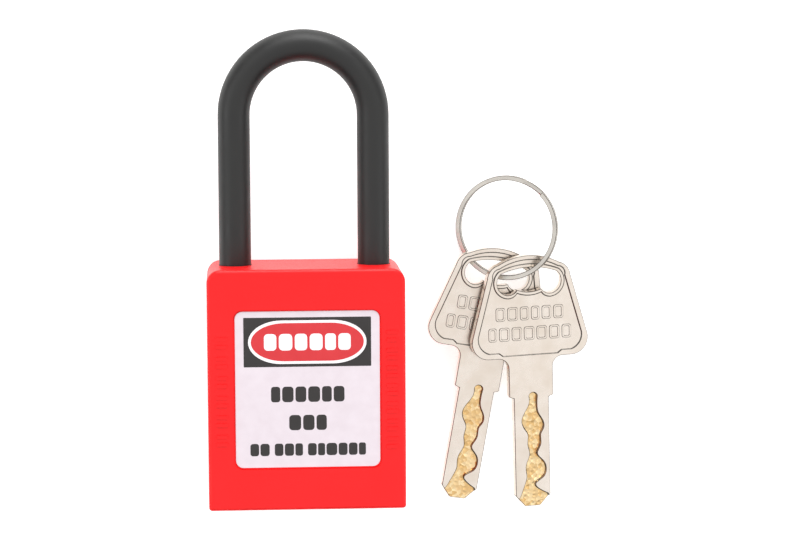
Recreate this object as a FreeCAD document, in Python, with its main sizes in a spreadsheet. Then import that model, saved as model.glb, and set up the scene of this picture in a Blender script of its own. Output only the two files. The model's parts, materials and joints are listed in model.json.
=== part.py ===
import FreeCAD, Part
import math
import os
import re

# Safety padlock lying on its back with its two keys on a split ring beside it.
# Frame: origin at the centre of the body's back face, X across the body, Y from the keyway end
# towards the shackle bow, Z out of the label face.  Lengths in millimetres, angles in degrees.

os.makedirs("parts", exist_ok=True)
doc = FreeCAD.newDocument("safety_padlock")

SIZES = {
    # moulded body
    "body_width": 36.7, "body_length": 45.0, "body_depth": 20.0,
    "top_corner": 2.5, "foot_corner": 0.6, "edge_round": 0.7,
    "mark_length": 2.1, "mark_bar": 0.6, "mark_pitch": 1.45, "mark_relief": 0.22,
    "left_mark_inset": 2.6, "left_mark_start": -9.2, "left_mark_step": 3.64,
    "right_mark_inset": 2.5, "right_mark_start": -10.0, "right_mark_step": 3.33,
    # labels and their recesses
    "label_width": 26.8, "label_height": 29.2, "label_corner": 1.4, "label_thick": 0.2,
    "label_shift": 0.15, "recess_depth": 0.5, "recess_gap": 0.3,
    # shackle and its bores
    "leg_dia": 6.0, "leg_spacing": 26.0, "clear_height": 38.0, "leg_play": 0.15,
    "toe_depth": 11.0, "heel_depth": 32.5, "leg_end_chamfer": 0.8,
    "notch_drop": 7.0, "notch_depth": 1.6, "notch_height": 3.8,
    "slot_depth": 1.15, "slot_drop": 22.5, "slot_half": 7.1, "slot_ring": 2.2,
    # locking bolts and their springs
    "bolt_nose": 3.4, "bolt_collar": 5.0, "bolt_play": 0.1, "collar_thick": 1.9,
    "bolt_spring_wire": 0.35, "bolt_spring_turns": 3.5,
    # lock cylinder housing, plug and end cover
    "housing_long": 24.0, "housing_play": 0.1, "plug_dia": 10.0, "plug_play": 0.05,
    "head_lip": 1.0, "head_thick": 1.45, "nose_dia": 8.8, "neck_dia": 6.0,
    "tang_thick": 2.5, "tang_length": 3.0,
    "cover_thick": 2.0, "cover_rim": 2.35, "cover_corner": 2.0, "cover_gap": 0.1,
    "snap_inset": 4.0, "snap_width": 2.6, "snap_depth": 5.0, "snap_length": 2.4, "snap_gap": 0.15,
    # wafers and wafer springs
    "wafer_thick": 1.0, "wafer_inset": 5.5, "wafer_pitch": 3.2, "wafer_edge": 0.95,
    "tab_width": 0.8, "tab_reach": 1.3, "tab_from": -1.55,
    "wafer_spring_dia": 1.0, "wafer_spring_wire": 0.18, "wafer_spring_length": 3.1,
    "wafer_spring_turns": 5.0,
    # plug clip, cam actuator and pins
    "clip_thick": 0.8, "clip_gap": 3.6, "stem_dia": 8.0, "cam_low": 3.3, "cam_rise": 1.5,
    "pivot_dia": 3.0, "pin_dia": 2.0, "pin_foot": 0.7, "heel_pin_drop": 16.5, "housing_pin_inset": 14.5,
    # split key ring
    "ring_outer": 20.0, "ring_wire": 0.9, "ring_layer": 0.6, "ring_pitch": 0.62, "ring_cross": 24.0,
    "ring_spin": 44.0,
    "ring_across": 38.768, "ring_along": 28.445, "ring_height": 4.181, "ring_tilt": 21.1,
    # keys
    "key_thick": 1.8, "key_blade": 6.9, "key_tip": 3.0, "key_tip_chamfer": 2.2, "key_neck": 8.7,
    "key_shoulder": 21.5, "bow_foot": 29.4, "bow_wide": 11.3, "bow_wide_level": 33.8,
    "bow_top": 7.6, "bow_top_level": 46.8, "key_length": 49.2, "bow_dish": 0.2, "bow_rim": 1.1,
    "crown_rim": 0.8, "bow_heel": 3.2, "neck_fillet": 2.0,
    "eye_half": 6.3, "eye_foot": 41.7, "eye_top": 46.9, "eye_lobe": 1.9, "eye_point": 2.4, "eye_rim": 0.65,
    "track_depth": 0.5, "track_grow": 0.0,
}

# Sizes that follow from others, so that what fits together stays together.
TIED = {
    "mid_height": "body_depth / 2", "top_face": "body_length / 2", "foot_face": "-body_length / 2",
    "left_mark_column": "left_mark_inset - body_width / 2",
    "right_mark_column": "body_width / 2 - right_mark_inset",
    "leg_bore": "leg_dia + 2 * leg_play", "toe_bore_depth": "toe_depth + 0.5",
    "heel_end": "top_face - heel_depth", "heel_bore_end": "heel_end - 1",
    "leg_inner": "(leg_spacing - leg_dia) / 2",
    "notch_level": "top_face - notch_drop", "slot_centre": "top_face - slot_drop",
    "nose_bore": "bolt_nose + 2 * bolt_play", "collar_bore": "bolt_collar + 2 * bolt_play",
    "bolt_inner": "cam_low + 0.2", "collar_end": "bolt_inner + collar_thick",
    "bolt_tip": "leg_inner - 0.25", "bolt_step": "leg_inner - leg_play - 1.45",
    "bolt_spring_dia": "(bolt_collar + bolt_nose) / 2 + 0.3",
    "seat": "foot_face + cover_thick", "housing_end": "seat + housing_long",
    "head_dia": "plug_dia + 2 * head_lip", "housing_dia": "head_dia + 2",
    "core_bore": "housing_dia + 2 * housing_play", "core_bore_end": "notch_level - 2.8",
    "housing_bore": "plug_dia + 2 * plug_play",
    "head_seat_dia": "head_dia + 0.2", "head_seat_depth": "head_thick + 0.1",
    "plug_end": "housing_end - 0.05", "cover_eye": "nose_dia + 0.2",
    "keyway_width": "key_blade + 0.3", "keyway_thick": "key_thick + 0.55",
    "keyway_end": "foot_face + key_shoulder + 1.6",
    "collar_dia": "neck_dia + 1", "collar_start": "housing_end + 0.9", "tang_start": "housing_end + 1.5",
    "window_width": "keyway_thick + 0.15", "window_length": "keyway_width + 0.8",
    "wafer_width": "window_width + 2 * wafer_edge", "wafer_slot_width": "wafer_width + 0.1",
    "wafer_slot_thick": "wafer_thick + 0.06", "wafer_first": "foot_face + wafer_inset",
    "groove_width": "wafer_width + 0.4", "groove_reach": "plug_dia / 2 + 0.85",
    "tab_level": "mid_height + wafer_width / 2 + 0.75",
    "clip_dia": "head_dia - 0.4", "clip_bore": "neck_dia + 0.05", "clip_start": "housing_end + 0.05",
    "stem_start": "tang_start + 0.15", "cam_start": "notch_level - 2.7", "cam_end": "notch_level + 2.4",
    "cam_chamber": "2 * (cam_low + cam_rise) + 1.4", "chamber_end": "notch_level + 2.7",
    "pivot_end": "chamber_end + 1.3", "pivot_bore": "pivot_dia + 0.1", "pivot_bore_end": "pivot_end + 0.2",
    "bush_bore": "stem_dia + 0.15", "bush_seat": "clip_dia + 0.6", "bush_seat_end": "tang_start + 0.05",
    "heel_pin_across": "-leg_inner", "heel_pin_level": "top_face - heel_pin_drop",
    "heel_pin_top": "mid_height + 4.5",
    "housing_pin_across": "housing_dia / 2 + 0.2", "housing_pin_level": "foot_face + housing_pin_inset",
    "housing_pin_top": "mid_height + 5",
    "cover_width": "body_width - 2 * cover_rim", "cover_depth": "body_depth - 5",
    "snap_across": "cover_width / 2 - snap_inset",
}

sheet = doc.addObject("Spreadsheet::Sheet", "Sizes")
for row, (alias, value) in enumerate(SIZES.items(), 1):
    sheet.set(f"A{row}", alias)
    sheet.set(f"B{row}", str(value))
    sheet.setAlias(f"B{row}", alias)
doc.recompute()


def bound(text):
    """Expression text with tied sizes written out and every size name pointing at the sheet."""
    def name(match):
        word = match.group(0)
        if word in TIED:
            return "(" + bound(TIED[word]) + ")"
        return "Sizes." + word if word in SIZES else word
    return re.sub(r"[a-z][a-z_]+", name, text)


def num(text):
    return float(sheet.evalExpression(bound(str(text)).replace("Sizes.", "")))


def bind(obj, prop, value):
    if isinstance(value, str):
        obj.setExpression(prop, bound(value))
    elif prop.startswith(".Placement.Base."):
        base = obj.Placement.Base
        setattr(base, prop[-1], value)
        obj.Placement.Base = base
    else:
        setattr(obj, prop, value)


def put(obj, x, y, z):
    for letter, value in zip("xyz", (x, y, z)):
        bind(obj, ".Placement.Base." + letter, value)


def box(name, x, y, z, dx, dy, dz):
    obj = doc.addObject("Part::Box", name)
    bind(obj, "Length", dx)
    bind(obj, "Width", dy)
    bind(obj, "Height", dz)
    put(obj, x, y, z)
    return obj


def rod(name, axis, x, y, z, dia, length):
    """Cylinder that starts at x, y, z and runs along the positive axis."""
    obj = doc.addObject("Part::Cylinder", name)
    turn = {"X": ((0, 1, 0), 90), "Y": ((1, 0, 0), -90), "Z": ((0, 0, 1), 0)}[axis]
    obj.Placement.Rotation = FreeCAD.Rotation(FreeCAD.Vector(*turn[0]), turn[1])
    bind(obj, "Radius", f"({dia}) / 2")
    bind(obj, "Height", length)
    put(obj, x, y, z)
    return obj


def join(name, pieces):
    obj = doc.addObject("Part::MultiFuse", name)
    obj.Shapes = pieces
    return obj


def cut(name, base, tools):
    obj = doc.addObject("Part::Cut", name)
    obj.Base = base
    obj.Tool = tools[0] if len(tools) == 1 else join(name + "_tools", tools)
    return obj


def overlap(name, first, second):
    obj = doc.addObject("Part::Common", name)
    obj.Base = first
    obj.Tool = second
    return obj


def slab(name, axis, across, along, base, width, length, thick, corner):
    """Plate with rounded corners, centred on across and along, its normal along the axis."""
    half_w, half_l = f"({width}) / 2", f"({length}) / 2"
    pieces = []
    for tag, dw, dl in (("wide", "0", corner), ("tall", corner, "0")):
        w0, l0 = f"{across} - {half_w} + {dw}", f"{along} - {half_l} + {dl}"
        w, l = f"{width} - 2 * ({dw})", f"{length} - 2 * ({dl})"
        if axis == "Z":
            pieces.append(box(f"{name}_{tag}", w0, l0, base, w, l, thick))
        else:
            pieces.append(box(f"{name}_{tag}", w0, base, l0, w, thick, l))
    for i, (a, b) in enumerate(((-1, -1), (-1, 1), (1, -1), (1, 1))):
        w0 = f"{across} + {a} * ({half_w} - ({corner}))"
        l0 = f"{along} + {b} * ({half_l} - ({corner}))"
        at = (w0, l0, base) if axis == "Z" else (w0, base, l0)
        pieces.append(rod(f"{name}_corner{i}", axis, *at, f"2 * ({corner})", thick))
    return join(name, pieces)


def coil(name, axis, x, y, z, dia, wire, length, turns):
    """Coil spring of mean diameter dia along the axis from x, y, z, in short straight runs."""
    count, climb = int(12 * turns), num(f"({length}) - ({wire})")
    spine = doc.addObject("Part::Polygon", name + "_spine")
    spine.Nodes = [vec(num(dia) / 2 * math.cos(math.pi * i / 6), num(dia) / 2 * math.sin(math.pi * i / 6),
                       climb * i / count) for i in range(count + 1)]
    ring = doc.addObject("Part::Circle", name + "_wire")
    bind(ring, "Radius", f"({wire}) / 2")
    ring.Placement.Rotation = FreeCAD.Rotation(FreeCAD.Vector(0, 0, 1), spine.Nodes[1] - spine.Nodes[0])
    bind(ring, ".Placement.Base.x", f"({dia}) / 2")
    obj = doc.addObject("Part::Sweep", name)
    obj.Sections = [ring]
    obj.Spine = (spine, [f"Edge{i + 1}" for i in range(count)])
    obj.Solid = True
    obj.Transition = "Right corner"
    turn = {"X": ((0, 1, 0), 90), "-X": ((0, 1, 0), -90)}[axis]
    obj.Placement.Rotation = FreeCAD.Rotation(FreeCAD.Vector(*turn[0]), turn[1])
    offset = f"+ ({wire}) / 2" if axis == "X" else f"- ({wire}) / 2"
    put(obj, f"{x} {offset}", y, z)
    return obj


def outline(name, curves, thick):
    """Closed sketch of the given curves, raised along its normal."""
    sketch = doc.addObject("Sketcher::SketchObject", name + "_sketch")
    sketch.addGeometry(curves, False)
    obj = doc.addObject("Part::Extrusion", name)
    obj.Base = sketch
    obj.DirMode = "Normal"
    obj.Solid = True
    bind(obj, "LengthFwd", thick)
    return obj


def vec(x, y, z=0.0):
    return FreeCAD.Vector(x, y, z)


def chain(start, steps):
    """Lines (one point) and arcs (middle and end point) from start and back to it."""
    curves, here = [], vec(*start)
    for step in steps:
        if len(step) == 2 and not isinstance(step[0], tuple):
            there = vec(*step)
            curves.append(Part.LineSegment(here, there))
        else:
            there = vec(*step[1])
            curves.append(Part.Arc(here, vec(*step[0]), there))
        here = there
    return curves


def through(points):
    curve = Part.BSplineCurve()
    curve.interpolate([vec(*p) for p in points])
    return curve


nodes = {}


def keep(label, obj):
    obj.Label = label
    nodes[label] = obj


# ---- moulded body --------------------------------------------------------------------------
shell = doc.addObject("PartDesign::Body", "shell")
block = shell.newObject("PartDesign::AdditiveBox", "shell_block")
bind(block, "Length", "body_width")
bind(block, "Width", "body_length")
bind(block, "Height", "body_depth")
bind(block, ".Placement.Base.x", "-body_width / 2")
bind(block, ".Placement.Base.y", "-body_length / 2")
doc.recompute()


def edges_where(shape, test):
    return [f"Edge{i}" for i, edge in enumerate(shape.Edges, 1) if test(edge)]


def upright(sign):
    def test(edge):
        box_ = edge.BoundBox
        return box_.ZLength > num("body_depth") - 0.1 and box_.Center.y * sign > 0
    return test


def rim(edge):
    box_ = edge.BoundBox
    return box_.ZLength < 0.01 and (box_.ZMin < 0.01 or box_.ZMin > num("body_depth") - 0.01)


last = block
for step, (test, radius) in enumerate(((upright(1), "top_corner"), (upright(-1), "foot_corner"),
                                       (rim, "edge_round"))):
    fillet = shell.newObject("PartDesign::Fillet", f"shell_round{step}")
    fillet.Base = (last, edges_where(last.Shape, test))
    bind(fillet, "Radius", radius)
    doc.recompute()
    last = fillet

marks = []
for column, start, step, count in (("left_mark_column", "left_mark_start", "left_mark_step", 6),
                                   ("right_mark_column", "right_mark_start", "right_mark_step", 7)):
    for i in range(count):
        for bar in (-1, 1):
            marks.append(box(f"mark_{column[:5]}{i}_{bar + 1}", f"{column} - mark_length / 2",
                             f"{start} + {i} * {step} + {bar} * mark_pitch / 2 - mark_bar / 2",
                             "body_depth - 0.3", "mark_length", "mark_bar", "mark_relief + 0.3"))
marked = join("marked_shell", [shell] + marks)

hollows = [
    slab("front_recess", "Z", "label_shift", "label_shift", "body_depth - recess_depth",
         "label_width + 2 * recess_gap", "label_height + 2 * recess_gap", "recess_depth + 1",
         "label_corner + recess_gap"),
    slab("rear_recess", "Z", "label_shift", "label_shift", "-1",
         "label_width + 2 * recess_gap", "label_height + 2 * recess_gap", "recess_depth + 1",
         "label_corner + recess_gap"),
    slab("cover_recess", "Y", "0", "mid_height", "foot_face - 1", "cover_width + 2 * cover_gap",
         "cover_depth + 2 * cover_gap", "cover_thick + 1", "cover_corner + cover_gap"),
    rod("core_bore_tool", "Y", 0, "seat - 0.5", "mid_height", "core_bore", "core_bore_end - seat + 0.5"),
    rod("chamber_tool", "Y", 0, "core_bore_end - 0.5", "mid_height", "cam_chamber",
        "chamber_end - core_bore_end + 0.5"),
    rod("pivot_tool", "Y", 0, "chamber_end - 0.5", "mid_height", "pivot_bore",
        "pivot_bore_end - chamber_end + 0.5"),
    rod("toe_bore_tool", "Y", "leg_spacing / 2", "top_face - toe_bore_depth", "mid_height",
        "leg_bore", "toe_bore_depth + 2"),
    rod("heel_bore_tool", "Y", "-leg_spacing / 2", "heel_bore_end", "mid_height", "leg_bore",
        "top_face - heel_bore_end + 2"),
    rod("collar_bore_tool", "X", "-bolt_step", "notch_level", "mid_height", "collar_bore", "2 * bolt_step"),
    rod("nose_bore_tool", "X", "-leg_spacing / 2", "notch_level", "mid_height", "nose_bore", "leg_spacing"),
    rod("heel_pin_tool", "Z", "heel_pin_across", "heel_pin_level", "0.2", "pin_dia", "heel_pin_top - 0.2"),
    rod("housing_pin_tool", "Z", "housing_pin_across", "housing_pin_level", "0.2", "pin_dia",
        "housing_pin_top - 0.2"),
]
for side in (-1, 1):
    hollows.append(box(f"snap_pocket{side + 1}", f"{side} * snap_across - snap_width / 2 - snap_gap",
                       "seat - 0.5", "mid_height - snap_depth / 2 - snap_gap",
                       "snap_width + 2 * snap_gap", "snap_length + snap_gap + 0.5",
                       "snap_depth + 2 * snap_gap"))
keep("lock_body", cut("lock_body_solid", marked, hollows))

for label, height in (("front_label", "body_depth - recess_depth"),
                      ("rear_label", "recess_depth - label_thick")):
    keep(label, slab(label + "_plate", "Z", "label_shift", "label_shift", height, "label_width",
                     "label_height", "label_thick", "label_corner"))

# ---- keyway end cover ----------------------------------------------------------------------
cover = join("cover_blank", [
    slab("cover_plate", "Y", "0", "mid_height", "foot_face", "cover_width", "cover_depth", "cover_thick",
         "cover_corner")] + [
    box(f"snap_leg{side + 1}", f"{side} * snap_across - snap_width / 2", "seat - 0.5",
        "mid_height - snap_depth / 2", "snap_width", "snap_length + 0.5", "snap_depth")
    for side in (-1, 1)])
keep("end_cover", cut("end_cover_solid", cover, [
    rod("cover_eye_tool", "Y", 0, "foot_face - 1", "mid_height", "cover_eye", "cover_thick + 2")]))

# ---- lock cylinder housing, spacer bush and pins -------------------------------------------
grooves = [rod("housing_bore_tool", "Y", 0, "seat - 1", "mid_height", "housing_bore", "housing_long + 2"),
           rod("head_seat_tool", "Y", 0, "seat - 1", "mid_height", "head_seat_dia", "head_seat_depth + 1"),
           rod("housing_notch", "Z", "housing_pin_across", "housing_pin_level", 0, "pin_dia", 20)]
channel = overlap("groove_shape", join("groove_cross", [
    box("groove_flat", "-groove_reach", "seat + 1", "mid_height - groove_width / 2",
        "2 * groove_reach", "housing_long - 2.5", "groove_width"),
    box("groove_tall", "-groove_width / 2", "seat + 1", "mid_height - groove_reach",
        "groove_width", "housing_long - 2.5", "2 * groove_reach")]),
    rod("groove_limit", "Y", 0, "seat", "mid_height", "2 * groove_reach", "housing_long"))
keep("cylinder_housing", cut("housing_solid", rod(
    "housing_blank", "Y", 0, "seat", "mid_height", "housing_dia", "housing_long"), grooves + [channel]))

keep("spacer_bush", cut("bush_solid", rod(
    "bush_blank", "Y", 0, "housing_end", "mid_height", "housing_dia", "core_bore_end - housing_end"), [
    rod("bush_bore_tool", "Y", 0, "housing_end - 1", "mid_height", "bush_bore",
        "core_bore_end - housing_end + 2"),
    rod("bush_seat_tool", "Y", 0, "housing_end - 1", "mid_height", "bush_seat",
        "bush_seat_end - housing_end + 1")]))

keep("cylinder_retaining_pin", rod("housing_pin", "Z", "housing_pin_across", "housing_pin_level",
                                   "pin_foot", "pin_dia", "housing_pin_top - pin_foot"))
keep("heel_retaining_pin", rod("heel_pin", "Z", "heel_pin_across", "heel_pin_level",
                               "pin_foot", "pin_dia", "heel_pin_top - pin_foot"))

# ---- plug ----------------------------------------------------------------------------------
plug_blank = join("plug_blank", [
    rod("plug_nose", "Y", 0, "foot_face", "mid_height", "nose_dia", "cover_thick + 0.5"),
    rod("plug_head", "Y", 0, "seat + 0.05", "mid_height", "head_dia", "head_thick"),
    rod("plug_barrel", "Y", 0, "seat + 0.5", "mid_height", "plug_dia", "plug_end - seat - 0.5"),
    rod("plug_neck", "Y", 0, "plug_end - 0.5", "mid_height", "neck_dia", "collar_start - plug_end + 1"),
    rod("plug_collar", "Y", 0, "collar_start", "mid_height", "collar_dia", "tang_start - collar_start"),
    overlap("plug_tang", box("tang_bar", "-neck_dia / 2", "tang_start - 0.3",
                             "mid_height - tang_thick / 2", "neck_dia", "tang_length + 0.3", "tang_thick"),
            rod("tang_limit", "Y", 0, "tang_start - 1", "mid_height", "collar_dia", "tang_length + 2"))])
plug_tools = [box("keyway_tool", "-keyway_width / 2", "foot_face - 1", "mid_height - keyway_thick / 2",
                  "keyway_width", "keyway_end - foot_face + 1", "keyway_thick")]
wafer_levels = [f"wafer_first + {i} * wafer_pitch" for i in range(6)]
for i, level in enumerate(wafer_levels):
    half = "wafer_slot_thick / 2"
    plug_tools += [
        box(f"wafer_slot{i}", -8, f"{level} - {half}", "mid_height - wafer_slot_width / 2",
            16, "wafer_slot_thick", "wafer_slot_width"),
        box(f"tab_pocket{i}", "tab_from - 0.85", f"{level} - {half}", "mid_height + 1",
            "tab_width + 0.85", "wafer_slot_thick", "wafer_width / 2 + tab_reach + 0.1 - 1"),
        rod(f"spring_pocket{i}", "X", "tab_from + tab_width - 0.1", level, "tab_level",
            "wafer_spring_dia + wafer_spring_wire + 0.22", "wafer_spring_length + 0.2")]
keep("plug", cut("plug_solid", plug_blank, plug_tools))

clip_blank = rod("clip_blank", "Y", 0, "clip_start", "mid_height", "clip_dia", "clip_thick")
keep("plug_clip", cut("clip_solid", clip_blank, [
    rod("clip_bore_tool", "Y", 0, "clip_start - 1", "mid_height", "clip_bore", "clip_thick + 2"),
    box("clip_gap_tool", "-clip_gap / 2", "clip_start - 1", "mid_height", "clip_gap", "clip_thick + 2",
        "clip_dia")]))

# ---- wafers and their springs --------------------------------------------------------------
springs = []
for i, level in enumerate(wafer_levels):
    low = f"{level} - wafer_thick / 2"
    plate = overlap(f"wafer_plate{i}", box(f"wafer_strip{i}", -8, low, "mid_height - wafer_width / 2",
                                           16, "wafer_thick", "wafer_width"),
                    rod(f"wafer_limit{i}", "Y", 0, low, "mid_height", "plug_dia", "wafer_thick"))
    blank = join(f"wafer_blank{i}", [plate, box(
        f"wafer_tab{i}", "tab_from", low, "mid_height + wafer_width / 2 - 0.3", "tab_width",
        "wafer_thick", "tab_reach + 0.3")])
    keep(f"wafer_{i + 1}", cut(f"wafer_solid{i}", blank, [
        box(f"wafer_window{i}", "-window_length / 2", f"{low} - 1", "mid_height - window_width / 2",
            "window_length", "wafer_thick + 2", "window_width")]))
    springs.append(coil(f"wafer_coil{i}", "X", "tab_from + tab_width", level, "tab_level",
                        "wafer_spring_dia", "wafer_spring_wire", "wafer_spring_length",
                        num("wafer_spring_turns")))
spring_set = doc.addObject("Part::Compound", "wafer_spring_set")
spring_set.Links = springs
keep("wafer_springs", spring_set)

# ---- cam actuator --------------------------------------------------------------------------
lobes = []
for quarter in range(4):
    points = []
    for k in range(9):
        turn = k / 8 if quarter % 2 == 0 else 1 - k / 8
        angle = math.radians(90 * (quarter + k / 8))
        radius = num("cam_low") + num("cam_rise") * turn
        points.append((radius * math.cos(angle), radius * math.sin(angle)))
    lobes.append(through(points))
cam = outline("cam_plate", lobes, "cam_end - cam_start")
cam.Placement.Rotation = FreeCAD.Rotation(FreeCAD.Vector(1, 0, 0), -90)
put(cam, 0, "cam_start", "mid_height")
actuator = join("actuator_blank", [
    cam,
    rod("cam_stem", "Y", 0, "stem_start", "mid_height", "stem_dia", "cam_start - stem_start"),
    rod("cam_pivot", "Y", 0, "cam_end - 0.5", "mid_height", "pivot_dia", "pivot_end - cam_end + 0.5")])
keep("cam_actuator", cut("actuator_solid", actuator, [
    box("tang_slot", -8, 0, "mid_height - tang_thick / 2 - 0.05", 16,
        "tang_start + tang_length + 0.1", "tang_thick + 0.1")]))

# ---- locking bolts and their return springs ------------------------------------------------
for label, side in (("toe", 1), ("heel", -1)):
    start = {1: ("bolt_inner", "collar_end - 1"), -1: ("-collar_end", "-bolt_tip")}[side]
    spring_at = {1: ("X", "collar_end"), -1: ("-X", "-collar_end")}[side]
    keep(f"{label}_bolt", join(f"{label}_bolt_solid", [
        rod(f"{label}_collar", "X", start[0], "notch_level", "mid_height", "bolt_collar",
            "collar_end - bolt_inner"),
        rod(f"{label}_nose", "X", start[1], "notch_level", "mid_height", "bolt_nose",
            "bolt_tip - collar_end + 1")]))
    keep(f"{label}_bolt_spring", coil(
        f"{label}_coil", spring_at[0], spring_at[1], "notch_level", "mid_height", "bolt_spring_dia",
        "bolt_spring_wire", "bolt_step - collar_end", num("bolt_spring_turns")))

# ---- shackle -------------------------------------------------------------------------------
bend = "top_face + clear_height - leg_inner"
arch = doc.addObject("Part::Torus", "shackle_arch")
bind(arch, "Radius1", "leg_spacing / 2")
bind(arch, "Radius2", "leg_dia / 2")
arch.Angle3 = 180
put(arch, 0, bend, "mid_height")
legs = []
for label, side, foot in (("toe", "", "top_face - toe_depth"), ("heel", "-", "heel_end")):
    at = side + "leg_spacing / 2"
    legs.append(rod(f"{label}_leg", "Y", at, f"{foot} + leg_end_chamfer", "mid_height", "leg_dia",
                    f"{bend} - ({foot}) - leg_end_chamfer"))
    cone = doc.addObject("Part::Cone", f"{label}_point")
    cone.Placement.Rotation = FreeCAD.Rotation(FreeCAD.Vector(1, 0, 0), -90)
    bind(cone, "Radius1", "leg_dia / 2 - leg_end_chamfer")
    bind(cone, "Radius2", "leg_dia / 2")
    bind(cone, "Height", "leg_end_chamfer")
    put(cone, at, foot, "mid_height")
    legs.append(cone)
ring_slot = cut("ring_slot", rod(
    "ring_slot_outer", "Y", "-leg_spacing / 2", "slot_centre - slot_half", "mid_height",
    "leg_dia + 1", "slot_ring"), [
    rod("ring_slot_inner", "Y", "-leg_spacing / 2", "slot_centre - slot_half - 1", "mid_height",
        "leg_dia - 2 * slot_depth", "slot_ring + 2")])
keep("shackle", cut("shackle_solid", join("shackle_blank", [arch] + legs), [
    box("toe_notch", "leg_inner - 1", "notch_level - notch_height / 2", "mid_height - 5", "notch_depth + 1",
        "notch_height", 10),
    box("heel_notch", "-leg_inner - notch_depth", "notch_level - notch_height / 2", "mid_height - 5",
        "notch_depth + 1", "notch_height", 10),
    box("heel_slot", "-leg_inner - slot_depth", "slot_centre - slot_half", "mid_height - 5", "slot_depth + 1",
        "2 * slot_half", 10),
    ring_slot]))

# ---- split key ring ------------------------------------------------------------------------
def open_turn(name, base):
    """One flat turn of the split ring, left open over the crossing."""
    pieces = []
    for tag, dia in (("outer", "ring_outer"), ("inner", "ring_outer - 2 * ring_wire")):
        disc = rod(f"{name}_{tag}", "Z", 0, 0, base, dia, "ring_layer")
        if tag == "outer":
            bind(disc, "Angle", "360 - ring_cross")
            disc.Placement.Rotation = FreeCAD.Rotation(FreeCAD.Vector(0, 0, 1), num("ring_cross"))
        pieces.append(disc)
    return cut(name, pieces[0], [pieces[1]])


mean = "(ring_outer - ring_wire) / 2"
step_spine = doc.addObject("Part::Helix", "step_spine")
bind(step_spine, "Radius", mean)
bind(step_spine, "Height", "ring_pitch")
bind(step_spine, "Pitch", "ring_pitch * 360 / ring_cross")
step_spine.SegmentLength = 0
half_wire, half_layer = num("ring_wire") / 2, num("ring_layer") / 2
strip = doc.addObject("Sketcher::SketchObject", "ring_strip")
strip.addGeometry(chain((-half_wire, -half_layer), [(half_wire, -half_layer), (half_wire, half_layer),
                                                    (-half_wire, half_layer), (-half_wire, -half_layer)]))
strip.Placement.Rotation = FreeCAD.Rotation(FreeCAD.Vector(1, 0, 0), 90)
bind(strip, ".Placement.Base.x", mean)
step = doc.addObject("Part::Sweep", "ring_step")
step.Sections = [strip]
step.Spine = (step_spine, ["Edge1"])
step.Solid = True
step.Frenet = True
put(step, 0, 0, "-ring_pitch / 2")
key_ring = join("ring_coil", [open_turn("ring_turn_low", "-(ring_pitch + ring_layer) / 2"), step,
                              open_turn("ring_turn_high", "(ring_pitch - ring_layer) / 2")])
lean = FreeCAD.Rotation(FreeCAD.Vector(0, 1, 0), -num("ring_tilt"))
key_ring.Placement.Rotation = lean * FreeCAD.Rotation(FreeCAD.Vector(0, 0, 1), num("ring_spin"))
put(key_ring, "ring_across", "ring_along", "ring_height")
keep("key_ring", key_ring)


# ---- keys ----------------------------------------------------------------------------------
def key_outline():
    tip, cham, blade = num("key_tip") / 2, num("key_tip_chamfer"), num("key_blade") / 2
    neck, sho, foot = num("key_neck") / 2, num("key_shoulder"), num("bow_foot")
    wide, lift, top, rise = num("bow_wide"), num("bow_wide_level"), num("bow_top"), num("bow_top_level")
    peak, web, heel = num("key_length"), num("neck_fillet"), num("bow_heel")
    bow = 0.293 * web
    right = [(tip, 0), (blade, cham), (blade, sho), (neck, sho + 0.3), (neck, foot - web),
             ((neck + bow, foot - bow), (neck + web, foot)), (wide - heel, foot),
             ((wide - 0.4 * heel, foot + 0.18 * heel), (wide, lift)), (top + 0.6, rise - 1.7),
             ((top - 0.1, rise - 0.1), (top - 1.6, rise + 0.8))]
    left = [((0, peak), (1.6 - top, rise + 0.8)), ((0.1 - top, rise - 0.1), (-top - 0.6, rise - 1.7)),
            (-wide, lift), ((0.4 * heel - wide, foot + 0.18 * heel), (heel - wide, foot)),
            (-neck - web, foot), ((-neck - bow, foot - bow), (-neck, foot - web)), (-neck, sho + 0.3),
            (-blade, sho), (-blade, cham), (-tip, 0)]
    return chain((-tip, 0), right + left)


def eye_outline(grow=0.0):
    """Eye with round ends, an arched top and two small points in its lower edge, made larger by grow."""
    half, foot = num("eye_half"), num("eye_foot")
    top, lobe, point = num("eye_top"), num("eye_lobe"), num("eye_point")
    low = foot - grow
    side = (half - 0.8 + 0.7 * grow, top - 1.05 + 0.7 * grow)
    return chain((lobe - half, low), [
        ((lobe - half + 1.3, low + 0.25), (-point, low + 0.95)), ((0, low + 0.45), (point, low + 0.95)),
        ((half - lobe - 1.3, low + 0.25), (half - lobe, low)),
        ((half + grow, foot + lobe + 0.2), side), ((0, top + grow), (-side[0], side[1])),
        ((-half - grow, foot + lobe + 0.2), (lobe - half, low))])


def dish_outline():
    """Sunk panel inside the raised rim of the bow."""
    foot, wide, lift, rim_ = num("bow_foot"), num("bow_wide"), num("bow_wide_level"), num("bow_rim")
    top, rise, peak, crown = num("bow_top"), num("bow_top_level"), num("key_length"), num("crown_rim")
    corner = (top + 0.6 - rim_, rise - 1.8)
    turn = (top - 0.1 - 0.7 * crown, rise - 0.1 - 0.7 * crown)
    shoulder = (top - 1.6 - 0.3 * crown, rise + 0.8 - 0.9 * crown)
    return chain((-5.4, foot + 0.5), [
        (5.4, foot + 0.5), (6.2, foot + rim_), (wide - 3.2, foot + rim_),
        ((wide - rim_ - 0.7, foot + 2.0), (wide - rim_, lift)), corner, (turn, shoulder),
        ((0, peak - crown), (-shoulder[0], shoulder[1])), ((-turn[0], turn[1]), (-corner[0], corner[1])),
        (rim_ - wide, lift), ((0.7 + rim_ - wide, foot + 2.0), (3.2 - wide, foot + rim_)),
        (-6.2, foot + rim_), (-5.4, foot + 0.5)])


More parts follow.
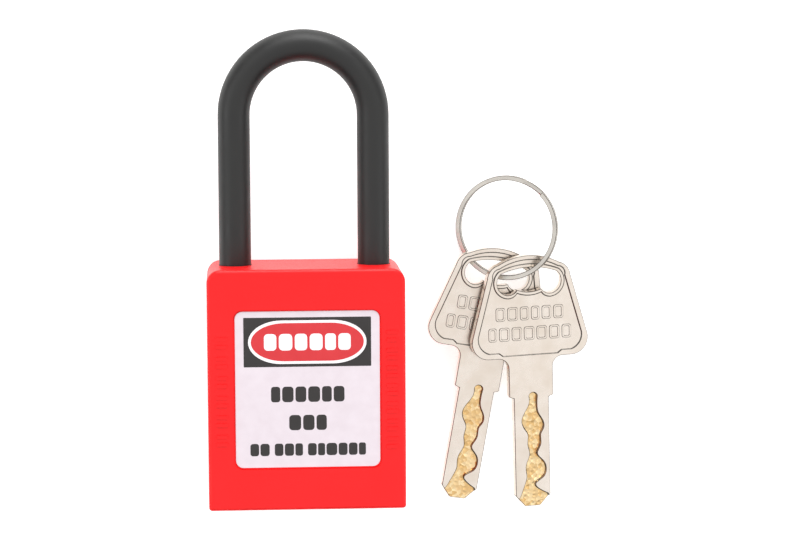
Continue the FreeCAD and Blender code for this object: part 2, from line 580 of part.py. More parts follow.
WAVE = [(2.4, -2.3, 2.95), (5.0, -1.35, 1.0), (5.9, -1.15, 2.2), (7.5, -1.3, 2.65), (8.8, -1.05, 2.2),
        (10.4, -0.5, 0.95), (12.3, -0.85, 1.65), (14.3, -0.8, 1.7), (15.5, -1.5, 2.3), (17.0, -1.95, 2.1),
        (18.4, -1.45, 1.3), (19.7, -0.7, 1.05), (21.7, -0.45, 1.15)]


def track_outline():
    """Milled wave: a narrow slot at the neck, bulges along the blade, full width at the tip."""
    grow, flare = num("track_grow"), num("key_blade") / 2 + 0.5
    left = [(near - grow, v) for v, near, far in WAVE]
    right = [(far + grow, v) for v, near, far in WAVE]
    cap = (left[-1][0] + right[-1][0]) / 2
    corners = [(right[0][0], right[0][1]), (flare, -0.6), (-flare, -0.6), left[0]]
    return [through(left), Part.Arc(vec(*left[-1]), vec(cap, left[-1][1] + 0.8), vec(*right[-1])),
            through(right[::-1])] + [Part.LineSegment(vec(*p), vec(*q)) for p, q in zip(corners, corners[1:])]


def key(label, tip, heading, underside):
    """Key whose blade tip sits at tip, pointing along heading, lying on the underside plane."""
    tools = [outline(label + "_eye", eye_outline(), "key_thick + 2")]
    tools[0].Base.Placement.Base = vec(0, 0, -1)
    for side in (0, 1):
        for part, curves, depth in (("dish", dish_outline(), "bow_dish"),
                                    ("track", track_outline(), "track_depth")):
            foot = -1 if side == 0 else num("key_thick") - num(depth)
            tool = outline(f"{label}_{part}{side}", curves, f"{depth} + 1")
            tool.Base.Placement.Base = vec(0, 0, foot)
            if part == "dish":
                kept = outline(f"{label}_eye_rim{side}", eye_outline(num("eye_rim")), f"{depth} + 3")
                kept.Base.Placement.Base = vec(0, 0, foot - 1)
                tool = cut(f"{label}_panel{side}", tool, [kept])
            tools.append(tool)
    obj = cut(label + "_solid", outline(label + "_blank", key_outline(), "key_thick"), tools)
    slope_x, slope_y, level = underside
    normal = vec(-slope_x, -slope_y, 1).normalize()
    turn = math.radians(heading)
    run = vec(math.sin(turn), math.cos(turn), 0)
    run.z = slope_x * run.x + slope_y * run.y
    across = run.cross(normal).normalize()
    along = normal.cross(across)
    height = level + slope_x * tip[0] + slope_y * tip[1]
    obj.Placement = FreeCAD.Placement(FreeCAD.Matrix(
        across.x, along.x, normal.x, tip[0], across.y, along.y, normal.y, tip[1],
        across.z, along.z, normal.z, height, 0, 0, 0, 1))
    keep(label, obj)


key("key_rear", (29.173, -24.006), 9.971, (-0.0964, 0.0475, 4.5688))
key("key_front", (43.854, -25.767), -1.536, (-0.1548, 0.0552, 9.0955))

# ---- checks and files ----------------------------------------------------------------------
doc.recompute()
for obj in doc.Objects:
    faults = [state for state in obj.State if state in ("Invalid", "Error")]
    if faults:
        raise RuntimeError(f"{obj.Name}: {faults}")
for label, obj in nodes.items():
    shape = obj.Shape
    if shape.isNull() or not shape.isValid() or not shape.Solids:
        raise RuntimeError(f"{label}: no valid solid")
for label, obj in nodes.items():
    obj.Shape.exportStep(os.path.join("parts", label + ".step"))
    print(label, len(obj.Shape.Solids), round(obj.Shape.Volume, 1))
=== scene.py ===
import json
import math

import bmesh
import bpy
from bpy.props import FloatProperty, FloatVectorProperty, PointerProperty
from mathutils import Euler, Matrix, Vector


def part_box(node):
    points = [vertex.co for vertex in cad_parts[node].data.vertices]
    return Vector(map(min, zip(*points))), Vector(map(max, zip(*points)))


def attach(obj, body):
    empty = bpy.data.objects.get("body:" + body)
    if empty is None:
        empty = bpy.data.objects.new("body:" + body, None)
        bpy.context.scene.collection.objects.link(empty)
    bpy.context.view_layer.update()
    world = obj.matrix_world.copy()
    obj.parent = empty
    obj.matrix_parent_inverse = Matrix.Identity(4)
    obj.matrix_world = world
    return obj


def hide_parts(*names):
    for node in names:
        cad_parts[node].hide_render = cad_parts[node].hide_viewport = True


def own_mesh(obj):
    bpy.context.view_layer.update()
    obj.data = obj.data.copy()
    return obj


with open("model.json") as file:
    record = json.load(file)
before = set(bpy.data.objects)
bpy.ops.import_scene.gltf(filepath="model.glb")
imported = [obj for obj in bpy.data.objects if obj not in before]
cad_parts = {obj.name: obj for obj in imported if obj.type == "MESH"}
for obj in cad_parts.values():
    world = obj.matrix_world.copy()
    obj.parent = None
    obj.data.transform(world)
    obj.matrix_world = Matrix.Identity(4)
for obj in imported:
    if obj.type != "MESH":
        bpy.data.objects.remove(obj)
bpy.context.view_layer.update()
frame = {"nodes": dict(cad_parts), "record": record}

bl_info = {
    "name": "Safety padlock with keys",
    "version": (1, 0, 0),
    "blender": (4, 5, 0),
    "location": "View3D > Sidebar > Padlock",
    "description": "Finishes a safety padlock, its label, keys and split ring, and sets up the studio",
    "category": "Object",
}

NODES = frame["nodes"]
MM = 0.001

FILM_CORNER = 1.4 * MM
FILM_EDGE = 0.05 * MM  # how far the film's top edge is drawn in
INK_ROOT = 0.03 * MM  # how far ink starts below the film's face
BOX_CORNER = 0.12 * MM  # corner of a printed box
LINE_CORNER = 0.1 * MM  # corner of a printed line
FILM, BLACK, WHITE, RED = range(4)  # places of the film and inks among a label's materials

KEY_THICK = 1.8 * MM
BOW_DISH = 0.2 * MM  # depth of the panel sunk in a key's bow
STAMP_ROOT = 0.02 * MM  # how far a stamped mark starts below the panel


# ---- colour and node helpers ---------------------------------------------------------------
def linear(code):
    """Linear RGBA from an sRGB hex value."""
    out = []
    for i in (0, 2, 4):
        c = int(code[i:i + 2], 16) / 255
        out.append(c / 12.92 if c <= 0.04045 else ((c + 0.055) / 1.055) ** 2.4)
    return (*out, 1.0)


def add(tree, kind, links=None, values=None, **settings):
    """Adds a node, sets its settings and input values, and links its inputs from other sockets."""
    node = tree.nodes.new(kind)
    for name, value in settings.items():
        setattr(node, name, value)
    for name, value in (values or {}).items():
        node.inputs[name].default_value = value
    for name, socket in (links or {}).items():
        tree.links.new(socket, node.inputs[name])
    return node


def start(name):
    """Empty material with a shader and an output."""
    material = bpy.data.materials.new(name)
    material.use_nodes = True
    tree = material.node_tree
    tree.nodes.clear()
    shader = add(tree, "ShaderNodeBsdfPrincipled")
    add(tree, "ShaderNodeOutputMaterial", {"Surface": shader.outputs["BSDF"]})
    return material, tree, shader


def grain(tree, size, detail=3.0, stretch=(1, 1, 1)):
    """Noise whose grains are about size across, in metres, pulled out along an axis by stretch."""
    place = add(tree, "ShaderNodeTexCoord")
    pull = add(tree, "ShaderNodeMapping", {"Vector": place.outputs["Object"]}, {"Scale": stretch})
    return add(tree, "ShaderNodeTexNoise", {"Vector": pull.outputs["Vector"]},
               {"Scale": 1.0 / size, "Detail": detail, "Roughness": 0.55}).outputs["Fac"]


def spread(tree, source, low, high, start_at=0.3, end_at=0.7):
    """Values from low to high as the source goes from start_at to end_at."""
    return add(tree, "ShaderNodeMapRange", {"Value": source},
               {"From Min": start_at, "From Max": end_at, "To Min": low, "To Max": high}).outputs["Result"]


def tint(tree, source, first, second):
    """Colour that goes from the first hex value to the second as the source goes from 0 to 1."""
    mix = add(tree, "ShaderNodeMix", {"Factor": source}, data_type="RGBA")
    mix.inputs["A"].default_value = linear(first)
    mix.inputs["B"].default_value = linear(second)
    return mix.outputs["Result"]


def relief(tree, source, depth):
    """Bump of the given depth, in metres."""
    bump = add(tree, "ShaderNodeBump", {"Height": source}, {"Strength": 1.0, "Distance": depth})
    return bump.outputs["Normal"]


# ---- materials -----------------------------------------------------------------------------
def moulded_nylon(name, code, darker):
    """Glass-filled nylon, injection moulded in a lightly etched tool: an even satin with a very fine
    grain, and faint flow shading a few millimetres across."""
    material, tree, shader = start(name)
    flow = grain(tree, 9 * MM, 2.0)
    etch = grain(tree, 0.35 * MM, 4.0)
    tree.links.new(tint(tree, spread(tree, flow, 0, 1, 0.35, 0.7), code, darker), shader.inputs["Base Color"])
    tree.links.new(spread(tree, etch, 0.36, 0.46), shader.inputs["Roughness"])
    tree.links.new(relief(tree, etch, 0.012 * MM), shader.inputs["Normal"])
    shader.inputs["IOR"].default_value = 1.53
    shader.inputs["Specular IOR Level"].default_value = 0.35
    return material


def label_ink(name, code, darker, rough):
    """Screen ink on polyester film: flat colour, thin, with the film's slight gloss over it."""
    material, tree, shader = start(name)
    mottle = grain(tree, 2.5 * MM, 3.0)
    tree.links.new(tint(tree, spread(tree, mottle, 0, 1), code, darker), shader.inputs["Base Color"])
    tree.links.new(spread(tree, mottle, rough, rough + 0.08), shader.inputs["Roughness"])
    shader.inputs["IOR"].default_value = 1.5
    return material


def coated_steel():
    """Hardened steel under a black satin coat: slight orange peel about half a millimetre across."""
    material, tree, shader = start("Black coated steel")
    peel = grain(tree, 0.8 * MM, 2.0)
    cloud = grain(tree, 6 * MM, 3.0)
    tree.links.new(tint(tree, spread(tree, cloud, 0, 1), "151515", "1b1b1a"), shader.inputs["Base Color"])
    tree.links.new(spread(tree, cloud, 0.42, 0.54), shader.inputs["Roughness"])
    tree.links.new(relief(tree, peel, 0.01 * MM), shader.inputs["Normal"])
    shader.inputs["IOR"].default_value = 1.5
    return material


def plated_metal(name, code, darker, rough, scratch):
    """Nickel plate over pressed metal: bright, softly cloudy, with fine handling lines."""
    material, tree, shader = start(name)
    cloud = grain(tree, 4 * MM, 4.0)
    lines = grain(tree, 0.5 * MM, 2.0, (1, 0.12, 1))
    tree.links.new(tint(tree, spread(tree, cloud, 0, 1), code, darker), shader.inputs["Base Color"])
    tree.links.new(spread(tree, cloud, rough, rough + 0.12), shader.inputs["Roughness"])
    tree.links.new(relief(tree, lines, scratch), shader.inputs["Normal"])
    shader.inputs["Metallic"].default_value = 1.0
    return material


def cut_brass():
    """Bare brass where a ball cutter has milled the plate away: overlapping scallops most of a
    millimetre across, each a little brighter or duller than the next, under fine tool marks."""
    material, tree, shader = start("Milled brass")
    marks = grain(tree, 0.3 * MM, 4.0)
    place = add(tree, "ShaderNodeTexCoord")
    scallop = add(tree, "ShaderNodeTexVoronoi", {"Vector": place.outputs["Object"]},
                  {"Scale": 1.0 / (0.8 * MM)})
    shade = add(tree, "ShaderNodeSeparateColor", {"Color": scallop.outputs["Color"]}).outputs["Red"]
    tree.links.new(tint(tree, shade, "f6deb0", "dcb478"), shader.inputs["Base Color"])
    tree.links.new(spread(tree, marks, 0.26, 0.46), shader.inputs["Roughness"])
    cupped = add(tree, "ShaderNodeBump", {"Height": scallop.outputs["Distance"],
                                          "Normal": relief(tree, marks, 0.04 * MM)},
                 {"Strength": 1.0, "Distance": 0.22 * MM})
    tree.links.new(cupped.outputs["Normal"], shader.inputs["Normal"])
    shader.inputs["Metallic"].default_value = 1.0
    return material


def plain_metal(name, code, darker, rough):
    """Bare metal with no pattern of its own: turned, cast or drawn parts inside the body. It also gives the
    painted dark shade on the keys' and ring's broken edges and stamp walls, standing in for dark reflections
    there. Its tone and gloss vary faintly over half a millimetre."""
    material, tree, shader = start(name)
    turned = grain(tree, 0.6 * MM, 3.0)
    tree.links.new(tint(tree, turned, code, darker), shader.inputs["Base Color"])
    tree.links.new(spread(tree, turned, rough, rough + 0.12), shader.inputs["Roughness"])
    shader.inputs["Metallic"].default_value = 1.0
    return material


# ---- mesh helpers --------------------------------------------------------------------------
def rounded(width, height, corner, steps=8):
    """Points round a rectangle with round corners, centred on the origin, anticlockwise."""
    points = []
    for a, b, turn in ((1, 1, 0), (-1, 1, 1), (-1, -1, 2), (1, -1, 3)):
        for k in range(steps + 1):
            angle = math.pi / 2 * (turn + k / steps)
            points.append((a * (width / 2 - corner) + corner * math.cos(angle),
                           b * (height / 2 - corner) + corner * math.sin(angle)))
    return points


def oval(width, height, end, steps=24):
    """Points round a flat-sided oval whose ends are half ellipses that reach end inwards."""
    points = []
    for side in (1, -1):
        for k in range(steps + 1):
            angle = -math.pi / 2 + math.pi * k / steps
            points.append((side * (width / 2 - end + end * math.cos(angle)),
                           side * height / 2 * math.sin(angle)))
    return points


def raise_plate(bm, points, low, high, index, soft=0.0):
    """Closed plate over the outline points from low to high, its top edge drawn in by soft."""
    cx = sum(p[0] for p in points) / len(points)
    cy = sum(p[1] for p in points) / len(points)
    rings = [(low, 0.0)] + ([(high - soft, 0.0), (high, soft)] if soft else [(high, 0.0)])
    loops = []
    for z, inset in rings:
        loop = []
        for x, y in points:
            reach = math.hypot(x - cx, y - cy) or 1.0
            pull = 1.0 - inset / reach
            loop.append(bm.verts.new((cx + (x - cx) * pull, cy + (y - cy) * pull, z)))
        loops.append(loop)
    faces = [bm.faces.new(loops[0][::-1]), bm.faces.new(loops[-1])]
    count = len(points)
    for lower, upper in zip(loops, loops[1:]):
        for i in range(count):
            faces.append(bm.faces.new((lower[i], lower[(i + 1) % count], upper[(i + 1) % count], upper[i])))
    for face in faces:
        face.material_index = index


def raise_frame(bm, outer, inner, slope, low, high, walls):
    """Closed frame between two outlines with the same number of points, its walls leaning in by slope and
    holding the material index walls."""
    count = len(outer)
    cx = sum(p[0] for p in outer) / count
    cy = sum(p[1] for p in outer) / count
    loops = []
    corners = ((outer, low, 0.0), (outer, high, -slope), (inner, high, slope), (inner, low, 0.0))
    for points, z, grow in corners:
        loop = []
        for x, y in points:
            stretch = 1.0 + grow / math.hypot(x - cx, y - cy)
            loop.append(bm.verts.new((cx + (x - cx) * stretch, cy + (y - cy) * stretch, z)))
        loops.append(loop)
    for step, (first, second) in enumerate(zip(loops, loops[1:] + loops[:1])):
        for i in range(count):
            face = bm.faces.new((first[i], first[(i + 1) % count], second[(i + 1) % count], second[i]))
            face.material_index = walls if step in (0, 2) else 0


def shifted(points, x, y):
    """The outline points moved by x, y."""
    return [(px + x, py + y) for px, py in points]


def piece(name, bm, materials, matrix=None):
    """Object made of the mesh built so far, placed by matrix."""
    bmesh.ops.recalc_face_normals(bm, faces=bm.faces)
    mesh = bpy.data.meshes.new(name)
    bm.to_mesh(mesh)
    bm.free()
    if matrix is not None:
        mesh.transform(matrix)
    for material in materials:
        mesh.materials.append(material)
    obj = bpy.data.objects.new(name, mesh)
    bpy.context.scene.collection.objects.link(obj)
    return obj


def finish_node(name, material):
    """Gives a CAD node its material."""
    obj = NODES[name]
    obj.data.materials.clear()
    obj.data.materials.append(material)
    return obj


def soften(obj, width, edge):
    """Joins the faces at their shared edges, then breaks the sharp edges and gives them the edge material, a
    painted dark shade that stands in for dark reflections.
    """
    obj.data.materials.append(edge)
    weld = obj.modifiers.new("joined_faces", "WELD")
    weld.merge_threshold = 0.001 * MM
    flat = obj.modifiers.new("whole_faces", "DECIMATE")
    flat.decimate_type = "DISSOLVE"
    flat.angle_limit = math.radians(0.5)
    flat.delimit = {"MATERIAL"}
    bevel = obj.modifiers.new("broken_edges", "BEVEL")
    bevel.width = width
    bevel.segments = 1
    bevel.limit_method = "ANGLE"
    bevel.angle_limit = math.radians(40)
    bevel.use_clamp_overlap = False
    bevel.material = len(obj.data.materials) - 1
    obj.modifiers.new("even_faces", "WEIGHTED_NORMAL").keep_sharp = True


def joint(name):
    """What the record says of a joint."""
    return next(j for j in frame["record"]["behaviour"]["joints"] if j["name"] == name)


def key_place(key, swing, heading):
    """Matrix from a key's own frame (across, along from the tip, through the thickness) to the row frame."""
    normal = Vector(joint(swing)["axis"]).normalized()
    run = Vector((math.sin(heading), math.cos(heading), 0.0))
    run.z = -(normal.x * run.x + normal.y * run.y) / normal.z
    across = run.cross(normal).normalized()
    along = normal.cross(across)
    spans = [[v.co.dot(way) for v in key.data.vertices] for way in (across, along, normal)]
    origin = across * (min(spans[0]) + max(spans[0])) / 2 + along * min(spans[1]) + normal * min(spans[2])
    turn = Matrix((across, along, normal)).transposed().to_4x4()
    return Matrix.Translation(origin) @ turn


def paint_track(mesh, into_key):
    """Gives the milled wave's floor and walls the second material."""
    skin = 0.05 * MM  # a face nearer than this to the key's own front or back belongs to it
    track_end = 23.2 * MM  # from the tip
    track_side = 3.3 * MM  # either side of the blade's middle
    tip_end = 2.3 * MM  # the blade's own chamfered tip walls end here
    for poly in mesh.polygons:
        centre = into_key @ poly.center
        way = into_key.to_3x3() @ poly.normal
        sunk = skin < centre.z < KEY_THICK - skin and centre.y < track_end
        floor = abs(way.z) > 0.9
        wall = abs(centre.x) < track_side and centre.y > tip_end
        if sunk and (floor or wall):
            poly.material_index = 1


# ---- settings ------------------------------------------------------------------------------
class PadlockSettings(bpy.types.PropertyGroup):
    """Sizes of the printed and stamped detail."""
    header_height: FloatProperty(name="Header height", description="Height of the dark block on the label",
                                 default=9.2 * MM, min=0.001, unit="LENGTH")
    header_width: FloatProperty(name="Header width", description="Width of the dark block on the label",
                                default=23.6 * MM, min=0.001, unit="LENGTH")
    ink_build: FloatProperty(name="Ink build", description="How far the ink stands on the film",
                             default=0.02 * MM, min=0.0, unit="LENGTH")
    stamp_relief: FloatProperty(name="Stamp relief", description="How far the marks stand on the key bows",
                                default=0.12 * MM, min=0.0, unit="LENGTH")
    front_heading: FloatProperty(name="Front key heading",
                                 description="Turn of the front key from the Y axis",
                                 default=math.radians(-1.536), subtype="ANGLE")
    rear_heading: FloatProperty(name="Rear key heading", description="Turn of the rear key from the Y axis",
                                default=math.radians(9.971), subtype="ANGLE")
    edge_soft: FloatProperty(name="Edge softness", description="Width of the broken edges on keys and ring",
                             default=0.11 * MM, min=0.0, unit="LENGTH")


class StudioSettings(bpy.types.PropertyGroup):
    """Camera place, light strength and floor colour."""
    pitch: FloatProperty(name="Pitch", description="Lean of the view towards the shackle end",
                         default=math.radians(5.98), subtype="ANGLE")
    yaw: FloatProperty(name="Yaw", description="Lean of the view across the body",
                       default=math.radians(-3.54), subtype="ANGLE")
    roll: FloatProperty(name="Roll", description="Turn of the picture", default=math.radians(-0.28),
                        subtype="ANGLE")
    distance: FloatProperty(name="Distance", description="Camera to the middle of the object", default=0.5,
                            min=0.1, unit="LENGTH")
    target: FloatVectorProperty(name="Target", description="Point in the middle of the picture",
                                default=(17.97 * MM, 20.41 * MM, 10 * MM), subtype="TRANSLATION")
    lens: FloatProperty(name="Lens", description="Focal length for a 36 mm wide sensor, in millimetres",
                        default=119.4, min=10.0)
    key_light: FloatProperty(name="Key light", description="Power that each soft light takes its share of",
                             default=3.0, min=0.0, unit="POWER")
    table_glow: FloatProperty(name="Table glow", description="Strength of the light from under the table",
                              default=0.5, min=0.0)
    floor_colour: FloatVectorProperty(name="Floor colour", description="Colour of the studio floor",
                                      default=linear("f7f7f6")[:3], subtype="COLOR", min=0.0, max=1.0)


# ---- operators -----------------------------------------------------------------------------
class PADLOCK_OT_body(bpy.types.Operator):
    """Finishes the moulded body and the keyway cover"""
    bl_idname = "padlock.body"
    bl_label = "Body"

    def execute(self, context):
        finish_node("lock_body", moulded_nylon("Red moulded nylon", "f80a10", "f0060c"))
        finish_node("end_cover", moulded_nylon("Black moulded nylon", "1d1d1e", "232324"))
        return {"FINISHED"}


def printed(bm, points, top, build, ink):
    """Ink laid over the outline points on film whose face is at top."""
    raise_plate(bm, points, top - INK_ROOT, top + build, ink)


def block_row(bm, cx, cy, height, groups, gap, space, top, build, ink):
    """Row of plain round-cornered blocks centred on cx, cy: gap between blocks, space between groups."""
    inside = [sum(widths) + gap * (len(widths) - 1) for widths in groups]
    x = cx - (sum(inside) + space * (len(groups) - 1)) / 2
    for widths in groups:
        for width in widths:
            outline = rounded(width, height, 0.3 * min(width, height), 4)
            printed(bm, shifted(outline, x + width / 2, cy), top, build, ink)
            x += width + gap
        x += space - gap


def front_label(sizes, inks):
    """Film with a dark box, an oval with a white rim in it, and four rows of blocks."""
    low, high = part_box("front_label")
    cx, cy, top, build = (low[0] + high[0]) / 2, (low[1] + high[1]) / 2, high[2], sizes.ink_build
    bm = bmesh.new()
    film = shifted(rounded(high[0] - low[0], high[1] - low[1], FILM_CORNER), cx, cy)
    raise_plate(bm, film, low[2], top, FILM, FILM_EDGE)

    header_y = cy + 8.85 * MM
    header = rounded(sizes.header_width, sizes.header_height, BOX_CORNER)
    printed(bm, shifted(header, cx, header_y), top, build, BLACK)
    for rim, ink, lift in ((0.0, WHITE, 1.6), (0.5 * MM, RED, 2.2)):
        width, height = 21.9 * MM - 2 * rim, 8.1 * MM - 2 * rim
        printed(bm, shifted(oval(width, height, 6.2 * MM), cx, header_y), top, build * lift, ink)

    # Height above the film's middle, block height, block widths word by word and gap, all in millimetres,
    # then how many times the ink's build the row stands, and its ink.
    rows = ((8.85, 3.1, ((2.3, 2.5, 2.3, 2.4, 2.0, 2.3),), 0.45, 2.8, WHITE),
            (-0.9, 2.9, ((1.7, 2.1, 2.0, 2.2, 1.8, 2.0),), 0.36, 1.0, BLACK),
            (-6.2, 2.85, ((2.2, 2.1, 1.9),), 0.38, 1.0, BLACK),
            (-11.25, 2.3, ((1.6, 1.7), (1.6, 1.7, 1.4), (1.6, 1.3, 2.0, 1.65, 1.6, 1.3)), 0.26, 1.0, BLACK))
    word_space = 0.95 * MM
    for level, height, groups, gap, lift, ink in rows:
        sized = [[width * MM for width in widths] for widths in groups]
        block_row(bm, cx, cy + level * MM, height * MM, sized, gap * MM, word_space, top, build * lift, ink)
    label = piece("front_label_print", bm, inks)
    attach(label, "lock")
    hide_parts("front_label")


def rear_label(sizes, inks):
    """Film with a dark box and four ruled lines. It is built face up and then turned over by mirroring."""
    low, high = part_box("rear_label")
    cx, cy, top = (low[0] + high[0]) / 2, (low[1] + high[1]) / 2, -low[2]
    bm = bmesh.new()
    film = shifted(rounded(high[0] - low[0], high[1] - low[1], FILM_CORNER), cx, cy)
    raise_plate(bm, film, -high[2], top, FILM, FILM_EDGE)
    header = rounded(sizes.header_width, 4.6 * MM, BOX_CORNER)
    printed(bm, shifted(header, cx, cy + 11.2 * MM), top, sizes.ink_build, BLACK)
    line = rounded(sizes.header_width, 0.35 * MM, LINE_CORNER)
    for level in (4.4, -0.4, -5.2, -10.0):
        printed(bm, shifted(line, cx, cy + level * MM), top, sizes.ink_build, BLACK)
    label = piece("rear_label_print", bm, inks[:2], Matrix.Diagonal((1, 1, -1, 1)))
    label.data.flip_normals()
    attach(label, "lock")
    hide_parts("rear_label")


class PADLOCK_OT_label(bpy.types.Operator):
    """Builds the printed front label and the plain rear label"""
    bl_idname = "padlock.label"
    bl_label = "Labels"

    def execute(self, context):
        sizes = context.scene.padlock_settings
        inks = [label_ink("White polyester film", "e3d8df", "ddd1d8", 0.3),
                label_ink("Black label ink", "262221", "2c2828", 0.34),
                label_ink("White label ink", "fbf7f8", "f6f1f3", 0.32),
                label_ink("Red label ink", "cf2a31", "d62f36", 0.34)]
        front_label(sizes, inks)
        rear_label(sizes, inks)
        return {"FINISHED"}


class PADLOCK_OT_shackle(bpy.types.Operator):
    """Finishes the shackle"""
    bl_idname = "padlock.shackle"
    bl_label = "Shackle"

    def execute(self, context):
        finish_node("shackle", coated_steel())
        return {"FINISHED"}


def bolt_spring(side):
    """Copy of the side's bolt spring coil, attached to the lock body, with the CAD spring hidden."""
    spring = NODES[f"{side}_bolt_spring"]
    coil = bpy.data.objects.new(f"{side}_bolt_coil", spring.data.copy())
    bpy.context.scene.collection.objects.link(coil)
    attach(coil, "lock")
    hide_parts(spring.name)
    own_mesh(coil)


class PADLOCK_OT_mechanism(bpy.types.Operator):
    """Finishes the cylinder, wafers, bolts, pins and springs"""
    bl_idname = "padlock.mechanism"
    bl_label = "Mechanism"

    def execute(self, context):
        brass = plain_metal("Turned brass", "d9b36a", "caa05a", 0.25)
        zinc = plain_metal("Cast zinc", "b9babb", "a6a7a9", 0.4)
        steel = plain_metal("Spring steel", "a9a9a8", "959594", 0.28)
        for name in ("plug", "toe_bolt", "heel_bolt", *(f"wafer_{i}" for i in range(1, 7))):
            finish_node(name, brass)
        for name in ("cylinder_housing", "spacer_bush", "cam_actuator"):
            finish_node(name, zinc)
        for name in ("plug_clip", "wafer_springs", "toe_bolt_spring", "heel_bolt_spring",
                     "cylinder_retaining_pin", "heel_retaining_pin"):
            finish_node(name, steel)
        bolt_spring("toe")
        bolt_spring("heel")
        return {"FINISHED"}


def stamp_marks(bm, relief_height):
    """Two rows of raised frames on the bow's sunk panel, in the key's own frame. Their walls have the second
    material, which the keys give as a painted dark shade standing in for dark reflections."""
    panel = KEY_THICK - BOW_DISH
    gap = 0.4
    # Distance from the tip and the marks' widths, in millimetres.
    rows = ((38.0, (1.9, 2.1, 1.8, 1.7, 1.9, 2.0)),
            (34.1, (1.7, 2.1, 2.0, 2.1, 2.1, 2.1, 1.9)))
    for level, widths in rows:
        x = -(sum(widths) + gap * (len(widths) - 1)) / 2
        for width in widths:
            at = ((x + width / 2) * MM, level * MM)
            # A mark is a line 0.45 mm wide between these two outlines.
            outer = rounded(width * MM, 2.7 * MM, 0.5 * MM, 4)
            inner = rounded((width - 0.9) * MM, 1.8 * MM, 0.25 * MM, 4)
            raise_frame(bm, shifted(outer, *at), shifted(inner, *at), relief_height,
                        panel - STAMP_ROOT, panel + relief_height, 1)
            x += width + gap


class PADLOCK_OT_keys(bpy.types.Operator):
    """Finishes the two keys and their split ring"""
    bl_idname = "padlock.keys"
    bl_label = "Keys and ring"

    def execute(self, context):
        sizes = context.scene.padlock_settings
        nickel = plated_metal("Nickel plated brass", "ebe1d7", "dfd3c6", 0.22, 0.006 * MM)
        brass = cut_brass()
        # painted shade: this dark metal on the keys' and ring's broken edges and on the stamp walls stands in
        # for dark reflections there
        painted_edge_shade = plain_metal("Nickel plate with painted dark edge reflection", "6e6963", "4a4642", 0.3)
        wire = plated_metal("Nickel plated spring steel", "cfcac2", "b9b4ad", 0.18, 0.003 * MM)
        for side, heading in (("front", sizes.front_heading), ("rear", sizes.rear_heading)):
            key = finish_node(f"key_{side}", nickel)
            key.data.materials.append(brass)
            place = key_place(key, f"key_{side}_swing", heading)
            paint_track(key.data, place.inverted())
            soften(key, sizes.edge_soft, painted_edge_shade)
            bm = bmesh.new()
            stamp_marks(bm, sizes.stamp_relief)
            stamp = piece(f"key_{side}_stamp", bm, [nickel, painted_edge_shade], place)
            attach(stamp, f"{side}_key")
        soften(finish_node("key_ring", wire), sizes.edge_soft, painted_edge_shade)
        return {"FINISHED"}


def light_table(colour, glow):
    """White acrylic light table, matt on top and lit softly from beneath, so that it reads as plain white."""
    half = 3.0
    bm = bmesh.new()
    corners = ((-half, -half), (half, -half), (half, half), (-half, half))
    bm.faces.new([bm.verts.new((x, y, -0.05 * MM)) for x, y in corners])
    material, _, shader = start("Backlit white acrylic")
    shader.inputs["Base Color"].default_value = (*colour, 1.0)
    shader.inputs["Roughness"].default_value = 0.9
    shader.inputs["Emission Color"].default_value = (1.0, 1.0, 1.0, 1.0)
    shader.inputs["Emission Strength"].default_value = glow
    piece("studio_floor", bm, [material])


def studio_sky():
    """Soft white dome, dark below about 25 degrees above the horizon and brightest just over that."""
    sky = bpy.data.worlds.new("studio_sky")
    sky.use_nodes = True
    tree = sky.node_tree
    place = add(tree, "ShaderNodeTexCoord")
    parts = add(tree, "ShaderNodeSeparateXYZ", {"Vector": place.outputs["Generated"]})
    height = add(tree, "ShaderNodeValToRGB", {"Fac": parts.outputs["Z"]})
    ramp = height.color_ramp.elements
    ramp[0].color = (0.03, 0.03, 0.03, 1.0)
    ramp[-1].color = (1.0, 1.0, 1.0, 1.0)
    for at, level in ((0.42, 0.03), (0.55, 1.15), (0.88, 1.1)):
        ramp.new(at).color = (level, level, level, 1.0)
    tree.links.new(height.outputs["Color"], tree.nodes["Background"].inputs["Color"])
    return sky


def soft_light(collection, name, place, size, power):
    """Square soft light that faces the middle of the object."""
    lamp = bpy.data.lights.new(name, "AREA")
    lamp.energy = power
    lamp.size = size
    holder = bpy.data.objects.new(name, lamp)
    holder.location = place
    facing = Vector((0.018, 0.02, 0.0)) - Vector(place)
    holder.rotation_euler = facing.to_track_quat("-Z", "Y").to_euler()
    collection.objects.link(holder)


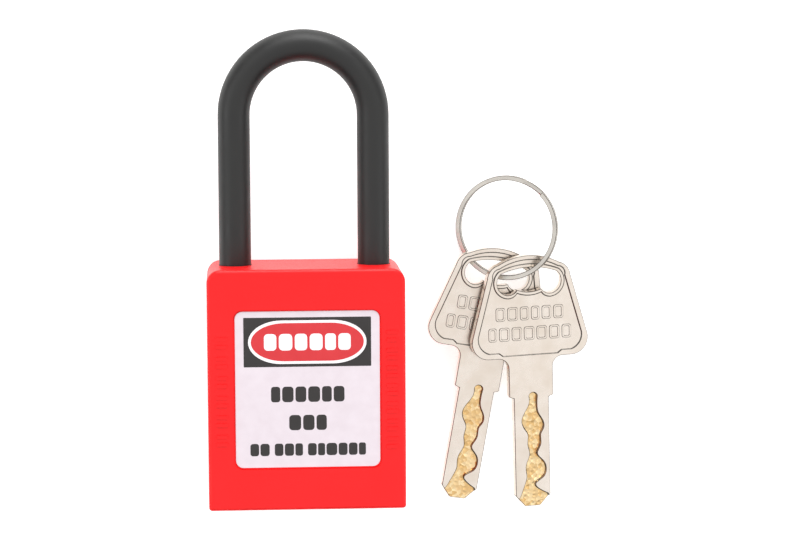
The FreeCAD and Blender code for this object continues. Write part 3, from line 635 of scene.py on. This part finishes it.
def studio_camera(collection, studio):
    """Camera above the object, leaning by pitch and yaw and turned by roll."""
    lens = bpy.data.cameras.new("studio_camera")
    lens.lens = studio.lens
    lens.sensor_width = 36.0
    lens.clip_start = 0.01
    camera = bpy.data.objects.new("studio_camera", lens)
    back = Vector((math.sin(studio.yaw) * math.cos(studio.pitch), math.sin(studio.pitch),
                   math.cos(studio.yaw) * math.cos(studio.pitch))).normalized()
    right = (-back).cross(Vector((0, 1, 0))).normalized()
    up = back.cross(right)
    turn = Matrix((right, up, back)).transposed() @ Euler((0, 0, studio.roll)).to_matrix()
    place = Vector(studio.target) + back * studio.distance
    camera.matrix_world = Matrix.Translation(place) @ turn.to_4x4()
    collection.objects.link(camera)
    return camera


class PADLOCK_OT_stage(bpy.types.Operator):
    """Adds the floor, the sky, the soft lights and the camera"""
    bl_idname = "padlock.stage"
    bl_label = "Stage"

    def execute(self, context):
        scene = context.scene
        studio = scene.studio_settings
        light_table(studio.floor_colour, studio.table_glow)
        scene.world = studio_sky()
        for name, place, size, share in (("soft_end", (0.1, 0.95, 0.4), 0.6, 2.6),
                                         ("soft_left", (-0.85, 0.1, 0.5), 0.5, 0.6),
                                         ("soft_right", (0.9, -0.1, 0.5), 0.5, 0.4)):
            soft_light(scene.collection, name, place, size, studio.key_light * share)
        scene.camera = studio_camera(scene.collection, studio)
        scene.view_settings.view_transform = "Standard"
        return {"FINISHED"}


class PADLOCK_PT_panel(bpy.types.Panel):
    """Lists the padlock's settings and steps"""
    bl_idname = "PADLOCK_PT_panel"
    bl_label = "Safety padlock"
    bl_space_type = "VIEW_3D"
    bl_region_type = "UI"
    bl_category = "Padlock"

    def draw(self, context):
        for group in (context.scene.padlock_settings, context.scene.studio_settings):
            box = self.layout.box()
            for name in group.__annotations__:
                box.prop(group, name)
        for operator in OPERATORS:
            self.layout.operator(operator.bl_idname)


OPERATORS = (PADLOCK_OT_body, PADLOCK_OT_label, PADLOCK_OT_shackle, PADLOCK_OT_mechanism, PADLOCK_OT_keys,
             PADLOCK_OT_stage)
CLASSES = (PadlockSettings, StudioSettings, *OPERATORS, PADLOCK_PT_panel)


def register():
    for cls in CLASSES:
        bpy.utils.register_class(cls)
    bpy.types.Scene.padlock_settings = PointerProperty(type=PadlockSettings)
    bpy.types.Scene.studio_settings = PointerProperty(type=StudioSettings)


def unregister():
    del bpy.types.Scene.studio_settings
    del bpy.types.Scene.padlock_settings
    for cls in reversed(CLASSES):
        bpy.utils.unregister_class(cls)


def main():
    register()
    for operator in OPERATORS:
        getattr(bpy.ops.padlock, operator.bl_idname.split(".")[1])()


if __name__ == "__main__":
    main()
